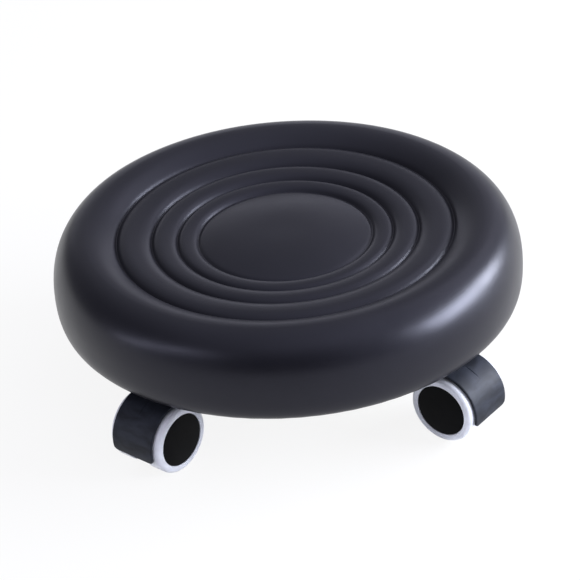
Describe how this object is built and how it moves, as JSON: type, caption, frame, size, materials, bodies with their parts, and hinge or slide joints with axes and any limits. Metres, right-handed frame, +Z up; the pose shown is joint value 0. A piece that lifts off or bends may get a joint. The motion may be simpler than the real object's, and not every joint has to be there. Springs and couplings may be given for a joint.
{
  "type": "rolling stool",
  "caption": "Low round rolling stool with a dished, ring-embossed padded seat on hooded twin-wheel swivel casters.",
  "frame": {"origin": "on the floor, under the middle of the round seat", "axes": "+Z up; the front, which the picture shows nearest, faces -Y; +X to the right seen from the front"},
  "size_m": [0.34, 0.34, 0.122],
  "materials": {
    "cover_leather": "satin",
    "foam": "matte",
    "plywood": "matte",
    "dust_cloth": "matte",
    "staple_wire": "satin",
    "zinc_steel": "satin",
    "spring_steel": "satin",
    "nylon": "matte",
    "hood_plastic": "satin",
    "hub_plastic": "satin",
    "cap_plastic": "matte",
    "tread_elastomer": "matte"
  },
  "bodies": {
    "seat": {"seat_cover": "cover_leather", "seat_foam": "foam", "edge_roll": "foam", "seat_board": "plywood", "dust_cover": "dust_cloth", "staples": "staple_wire", "caster_screws": "zinc_steel", "front_right_top_plate": "zinc_steel", "front_right_swivel_pin": "zinc_steel", "front_right_thrust_washer": "nylon", "front_right_retaining_ring": "spring_steel", "rear_right_top_plate": "zinc_steel", "rear_right_swivel_pin": "zinc_steel", "rear_right_thrust_washer": "nylon", "rear_right_retaining_ring": "spring_steel", "rear_left_top_plate": "zinc_steel", "rear_left_swivel_pin": "zinc_steel", "rear_left_thrust_washer": "nylon", "rear_left_retaining_ring": "spring_steel", "front_left_top_plate": "zinc_steel", "front_left_swivel_pin": "zinc_steel", "front_left_thrust_washer": "nylon", "front_left_retaining_ring": "spring_steel"},
    "front_right_caster": {"front_right_hood": "hood_plastic", "front_right_axle": "zinc_steel", "front_right_push_nuts": "spring_steel"},
    "front_right_wheel_1": {"front_right_wheel_1_hub": "hub_plastic", "front_right_wheel_1_tread": "tread_elastomer", "front_right_wheel_1_cap": "cap_plastic"},
    "front_right_wheel_2": {"front_right_wheel_2_hub": "hub_plastic", "front_right_wheel_2_tread": "tread_elastomer", "front_right_wheel_2_cap": "cap_plastic"},
    "rear_right_caster": {"rear_right_hood": "hood_plastic", "rear_right_axle": "zinc_steel", "rear_right_push_nuts": "spring_steel"},
    "rear_right_wheel_1": {"rear_right_wheel_1_hub": "hub_plastic", "rear_right_wheel_1_tread": "tread_elastomer", "rear_right_wheel_1_cap": "cap_plastic"},
    "rear_right_wheel_2": {"rear_right_wheel_2_hub": "hub_plastic", "rear_right_wheel_2_tread": "tread_elastomer", "rear_right_wheel_2_cap": "cap_plastic"},
    "rear_left_caster": {"rear_left_hood": "hood_plastic", "rear_left_axle": "zinc_steel", "rear_left_push_nuts": "spring_steel"},
    "rear_left_wheel_1": {"rear_left_wheel_1_hub": "hub_plastic", "rear_left_wheel_1_tread": "tread_elastomer", "rear_left_wheel_1_cap": "cap_plastic"},
    "rear_left_wheel_2": {"rear_left_wheel_2_hub": "hub_plastic", "rear_left_wheel_2_tread": "tread_elastomer", "rear_left_wheel_2_cap": "cap_plastic"},
    "front_left_caster": {"front_left_hood": "hood_plastic", "front_left_axle": "zinc_steel", "front_left_push_nuts": "spring_steel"},
    "front_left_wheel_1": {"front_left_wheel_1_hub": "hub_plastic", "front_left_wheel_1_tread": "tread_elastomer", "front_left_wheel_1_cap": "cap_plastic"},
    "front_left_wheel_2": {"front_left_wheel_2_hub": "hub_plastic", "front_left_wheel_2_tread": "tread_elastomer", "front_left_wheel_2_cap": "cap_plastic"}
  },
  "joints": [
    {"name": "front_right_swivel", "type": "hinge", "parent": "seat", "child": "front_right_caster", "pos_m": [0.09684, -0.08598, 0.0578], "axis": [0, 0, 1], "continuous": true},
    {"name": "front_right_wheel_1_spin", "type": "hinge", "parent": "front_right_caster", "child": "front_right_wheel_1", "pos_m": [0.11261, -0.09907, 0.025], "axis": [0.6388, 0.7694, 0], "continuous": true},
    {"name": "front_right_wheel_2_spin", "type": "hinge", "parent": "front_right_caster", "child": "front_right_wheel_2", "pos_m": [0.11261, -0.09907, 0.025], "axis": [0.6388, 0.7694, 0], "continuous": true},
    {"name": "rear_right_swivel", "type": "hinge", "parent": "seat", "child": "rear_right_caster", "pos_m": [0.08598, 0.09684, 0.0578], "axis": [0, 0, 1], "continuous": true},
    {"name": "rear_right_wheel_1_spin", "type": "hinge", "parent": "rear_right_caster", "child": "rear_right_wheel_1", "pos_m": [0.0986, 0.11299, 0.025], "axis": [-0.788, 0.6157, 0], "continuous": true},
    {"name": "rear_right_wheel_2_spin", "type": "hinge", "parent": "rear_right_caster", "child": "rear_right_wheel_2", "pos_m": [0.0986, 0.11299, 0.025], "axis": [-0.788, 0.6157, 0], "continuous": true},
    {"name": "rear_left_swivel", "type": "hinge", "parent": "seat", "child": "rear_left_caster", "pos_m": [-0.09684, 0.08598, 0.0578], "axis": [0, 0, 1], "continuous": true},
    {"name": "rear_left_wheel_1_spin", "type": "hinge", "parent": "rear_left_caster", "child": "rear_left_wheel_1", "pos_m": [-0.11277, 0.09888, 0.025], "axis": [-0.6293, -0.7771, 0], "continuous": true},
    {"name": "rear_left_wheel_2_spin", "type": "hinge", "parent": "rear_left_caster", "child": "rear_left_wheel_2", "pos_m": [-0.11277, 0.09888, 0.025], "axis": [-0.6293, -0.7771, 0], "continuous": true},
    {"name": "front_left_swivel", "type": "hinge", "parent": "seat", "child": "front_left_caster", "pos_m": [-0.08598, -0.09684, 0.0578], "axis": [0, 0, 1], "continuous": true},
    {"name": "front_left_wheel_1_spin", "type": "hinge", "parent": "front_left_caster", "child": "front_left_wheel_1", "pos_m": [-0.09956, -0.11219, 0.025], "axis": [0.749, -0.6626, 0], "continuous": true},
    {"name": "front_left_wheel_2_spin", "type": "hinge", "parent": "front_left_caster", "child": "front_left_wheel_2", "pos_m": [-0.09956, -0.11219, 0.025], "axis": [0.749, -0.6626, 0], "continuous": true}
  ]
}
